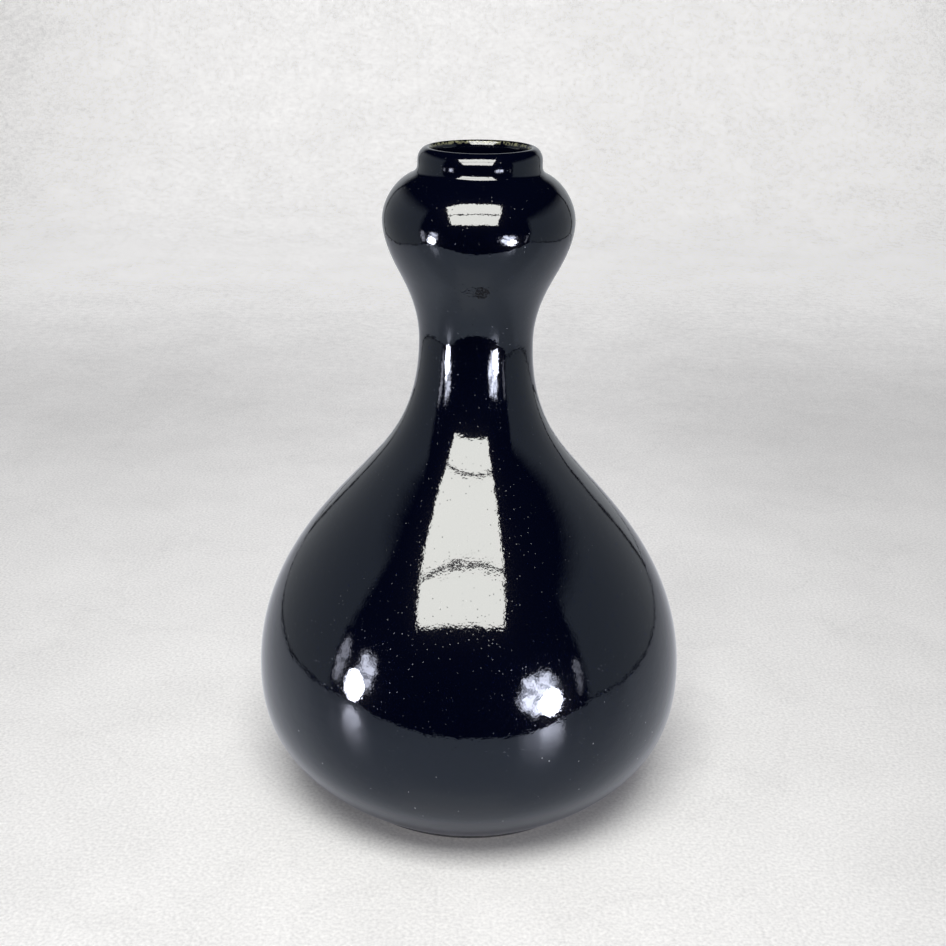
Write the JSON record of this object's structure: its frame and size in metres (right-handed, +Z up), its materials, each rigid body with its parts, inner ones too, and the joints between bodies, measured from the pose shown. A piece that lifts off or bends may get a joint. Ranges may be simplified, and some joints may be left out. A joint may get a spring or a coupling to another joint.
{
  "type": "gourd vase",
  "caption": "Tall gourd-shaped vase: round low belly, slender waisted neck, garlic-bulb head with a short collar round an open mouth, standing on a shallow foot ring, glazed black.",
  "frame": {"origin": "centre of the foot ring's standing face, on the surface that the vase stands on", "axes": "+Z up the vase's axis towards the mouth; the vase is turned, so X and Y are any two directions square to it"},
  "size_m": [0.1642, 0.1642, 0.2503],
  "materials": {
    "clay": "matt",
    "slip": "matt",
    "black_glaze": "gloss"
  },
  "bodies": {
    "root": {"foot_ring": "clay", "foot_slip": "slip", "lower_belly": "clay", "belly_slip": "slip", "upper_belly": "clay", "neck_slip": "slip", "neck": "clay", "head_slip": "slip", "head": "clay", "collar_slip": "slip", "collar": "clay", "outer_glaze": "black_glaze", "inner_glaze": "black_glaze", "base_glaze": "black_glaze"}
  },
  "joints": []
}
